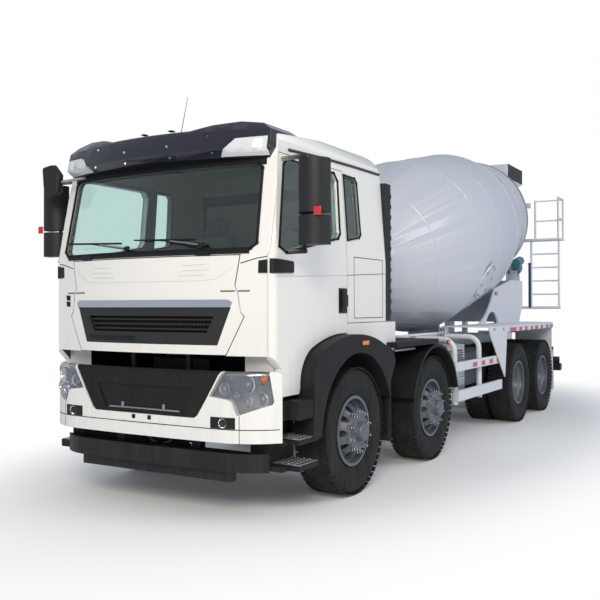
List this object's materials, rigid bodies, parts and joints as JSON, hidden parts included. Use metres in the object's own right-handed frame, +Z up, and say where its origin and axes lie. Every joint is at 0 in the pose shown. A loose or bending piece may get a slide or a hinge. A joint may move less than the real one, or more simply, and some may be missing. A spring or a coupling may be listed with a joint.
{
  "type": "concrete mixer truck",
  "caption": "Four-axle truck with a tilting cab, an inclined rotating mixing drum on rollers, a feed hopper and a swinging, folding discharge chute.",
  "frame": {"origin": "on the ground below the middle of the overall length and width", "axes": "-Y towards the front of the vehicle, +X towards its left side, +Z up"},
  "size_m": [2.927, 10.24, 3.9598],
  "materials": {
    "cab_white": "glossy",
    "drum_paint": "glossy",
    "chassis_black": "satin",
    "frame_white": "satin",
    "trim_black": "matte",
    "visor_blue": "glossy",
    "lamp_chrome": "glossy",
    "glazing": "glossy",
    "tyre_rubber": "matte",
    "rim_steel": "satin",
    "bare_steel": "brushed",
    "bare_aluminium": "satin",
    "seat_cloth": "matte"
  },
  "bodies": {
    "chassis": {"chassis_frame": "chassis_black", "engine": "chassis_black", "bumper": "cab_white", "bumper_grille": "trim_black", "headlamps": "lamp_chrome", "front_mudguards": "trim_black", "axles": "chassis_black", "tanks": "bare_aluminium", "battery_box": "bare_aluminium", "side_guards": "frame_white", "mixer_frame": "frame_white", "drum_gearbox": "chassis_black", "rear_mudguards": "frame_white", "feed_hopper": "frame_white", "discharge_hopper": "frame_white", "ladder": "frame_white", "tail_bar": "chassis_black"},
    "cab": {"cab_shell": "cab_white", "cab_glass": "glazing", "sun_visor": "visor_blue", "wipers": "trim_black", "dashboard": "trim_black", "seats": "seat_cloth", "air_intake": "trim_black"},
    "door_left": {"door_left": "cab_white", "door_glass_left": "glazing", "mirror_left": "trim_black"},
    "door_right": {"door_right": "cab_white", "door_glass_right": "glazing", "mirror_right": "trim_black"},
    "front_flap": {"front_flap": "cab_white", "flap_grille": "trim_black"},
    "drum": {"drum": "drum_paint"},
    "roller_left": {"roller_left": "bare_steel"},
    "roller_right": {"roller_right": "bare_steel"},
    "chute_bracket": {"chute_bracket": "chassis_black"},
    "chute": {"chute": "bare_steel"},
    "chute_extension": {"chute_extension": "bare_steel"},
    "knuckle_1_left": {"knuckle_1_left": "chassis_black"},
    "knuckle_1_right": {"knuckle_1_right": "chassis_black"},
    "tie_rod_1": {"tie_rod_1": "bare_steel"},
    "knuckle_2_left": {"knuckle_2_left": "chassis_black"},
    "knuckle_2_right": {"knuckle_2_right": "chassis_black"},
    "tie_rod_2": {"tie_rod_2": "bare_steel"},
    "wheel_1_left": {"wheel_1_left": "rim_steel", "tyre_1_left": "tyre_rubber"},
    "wheel_1_right": {"wheel_1_right": "rim_steel", "tyre_1_right": "tyre_rubber"},
    "wheel_2_left": {"wheel_2_left": "rim_steel", "tyre_2_left": "tyre_rubber"},
    "wheel_2_right": {"wheel_2_right": "rim_steel", "tyre_2_right": "tyre_rubber"},
    "wheel_3_left": {"wheel_3_left": "rim_steel", "tyre_3_left": "tyre_rubber"},
    "wheel_3_right": {"wheel_3_right": "rim_steel", "tyre_3_right": "tyre_rubber"},
    "wheel_4_left": {"wheel_4_left": "rim_steel", "tyre_4_left": "tyre_rubber"},
    "wheel_4_right": {"wheel_4_right": "rim_steel", "tyre_4_right": "tyre_rubber"}
  },
  "joints": [
    {"name": "steer_1_left", "type": "hinge", "parent": "chassis", "child": "knuckle_1_left", "pos_m": [0.875, -3.76, 0.542], "axis": [0, 0, 1], "range_deg": [-35, 35]},
    {"name": "steer_1_right", "type": "hinge", "parent": "chassis", "child": "knuckle_1_right", "pos_m": [-0.875, -3.76, 0.542], "axis": [0, 0, 1], "range_deg": [-35, 35]},
    {"name": "tie_rod_1_swing", "type": "hinge", "parent": "knuckle_1_left", "child": "tie_rod_1", "pos_m": [0.875, -3.56, 0.395], "axis": [0, 0, 1], "range_deg": [-35, 35]},
    {"name": "steer_2_left", "type": "hinge", "parent": "chassis", "child": "knuckle_2_left", "pos_m": [0.875, -1.96, 0.542], "axis": [0, 0, 1], "range_deg": [-24, 24]},
    {"name": "steer_2_right", "type": "hinge", "parent": "chassis", "child": "knuckle_2_right", "pos_m": [-0.875, -1.96, 0.542], "axis": [0, 0, 1], "range_deg": [-24, 24]},
    {"name": "tie_rod_2_swing", "type": "hinge", "parent": "knuckle_2_left", "child": "tie_rod_2", "pos_m": [0.875, -1.76, 0.395], "axis": [0, 0, 1], "range_deg": [-24, 24]},
    {"name": "wheel_1_left_spin", "type": "hinge", "parent": "knuckle_1_left", "child": "wheel_1_left", "pos_m": [1.045, -3.76, 0.542], "axis": [1, 0, 0], "continuous": true},
    {"name": "wheel_1_right_spin", "type": "hinge", "parent": "knuckle_1_right", "child": "wheel_1_right", "pos_m": [-1.045, -3.76, 0.542], "axis": [1, 0, 0], "continuous": true},
    {"name": "wheel_2_left_spin", "type": "hinge", "parent": "knuckle_2_left", "child": "wheel_2_left", "pos_m": [1.045, -1.96, 0.542], "axis": [1, 0, 0], "continuous": true},
    {"name": "wheel_2_right_spin", "type": "hinge", "parent": "knuckle_2_right", "child": "wheel_2_right", "pos_m": [-1.045, -1.96, 0.542], "axis": [1, 0, 0], "continuous": true},
    {"name": "wheel_3_left_spin", "type": "hinge", "parent": "chassis", "child": "wheel_3_left", "pos_m": [0.915, 1.24, 0.542], "axis": [1, 0, 0], "continuous": true},
    {"name": "wheel_3_right_spin", "type": "hinge", "parent": "chassis", "child": "wheel_3_right", "pos_m": [-0.915, 1.24, 0.542], "axis": [1, 0, 0], "continuous": true},
    {"name": "wheel_4_left_spin", "type": "hinge", "parent": "chassis", "child": "wheel_4_left", "pos_m": [0.915, 2.59, 0.542], "axis": [1, 0, 0], "continuous": true},
    {"name": "wheel_4_right_spin", "type": "hinge", "parent": "chassis", "child": "wheel_4_right", "pos_m": [-0.915, 2.59, 0.542], "axis": [1, 0, 0], "continuous": true},
    {"name": "cab_tilt", "type": "hinge", "parent": "chassis", "child": "cab", "pos_m": [0, -4.97, 1.06], "axis": [1, 0, 0], "range_deg": [0, 55]},
    {"name": "door_left_swing", "type": "hinge", "parent": "cab", "child": "door_left", "pos_m": [1.118, -4.958, 1.7], "axis": [0, 0, -1], "range_deg": [0, 70]},
    {"name": "door_right_swing", "type": "hinge", "parent": "cab", "child": "door_right", "pos_m": [-1.118, -4.958, 1.7], "axis": [0, 0, 1], "range_deg": [0, 70]},
    {"name": "front_flap_lift", "type": "hinge", "parent": "cab", "child": "front_flap", "pos_m": [0, -5.095, 1.99], "axis": [-1, 0, 0], "range_deg": [0, 75]},
    {"name": "drum_spin", "type": "hinge", "parent": "chassis", "child": "drum", "pos_m": [0, 0.24, 2.441], "axis": [0, 0.9769, 0.2137], "continuous": true},
    {"name": "roller_left_spin", "type": "hinge", "parent": "chassis", "child": "roller_left", "pos_m": [0.6783, 2.9723, 2.2112], "axis": [0, 0.9769, 0.2137], "continuous": true},
    {"name": "roller_right_spin", "type": "hinge", "parent": "chassis", "child": "roller_right", "pos_m": [-0.6783, 2.9723, 2.2112], "axis": [0, 0.9769, 0.2137], "continuous": true},
    {"name": "chute_swing", "type": "hinge", "parent": "chassis", "child": "chute_bracket", "pos_m": [0, 3.88, 1.6], "axis": [0, 0, 1], "range_deg": [-60, 60]},
    {"name": "chute_lift", "type": "hinge", "parent": "chute_bracket", "child": "chute", "pos_m": [0, 3.88, 1.94], "axis": [1, 0, 0], "range_deg": [-10, 20]},
    {"name": "chute_fold", "type": "hinge", "parent": "chute", "child": "chute_extension", "pos_m": [0, 5.0456, 1.4539], "axis": [-1, 0, 0], "range_deg": [0, 180]}
  ],
  "couplings": [
    {"joint": "steer_1_right", "follows": "steer_1_left", "ratio": 1},
    {"joint": "steer_2_left", "follows": "steer_1_left", "ratio": 0.683},
    {"joint": "steer_2_right", "follows": "steer_1_left", "ratio": 0.683},
    {"joint": "tie_rod_1_swing", "follows": "steer_1_left", "ratio": -1},
    {"joint": "tie_rod_2_swing", "follows": "steer_1_left", "ratio": -0.683},
    {"joint": "roller_left_spin", "follows": "drum_spin", "ratio": -7.7917},
    {"joint": "roller_right_spin", "follows": "drum_spin", "ratio": -7.7917}
  ]
}
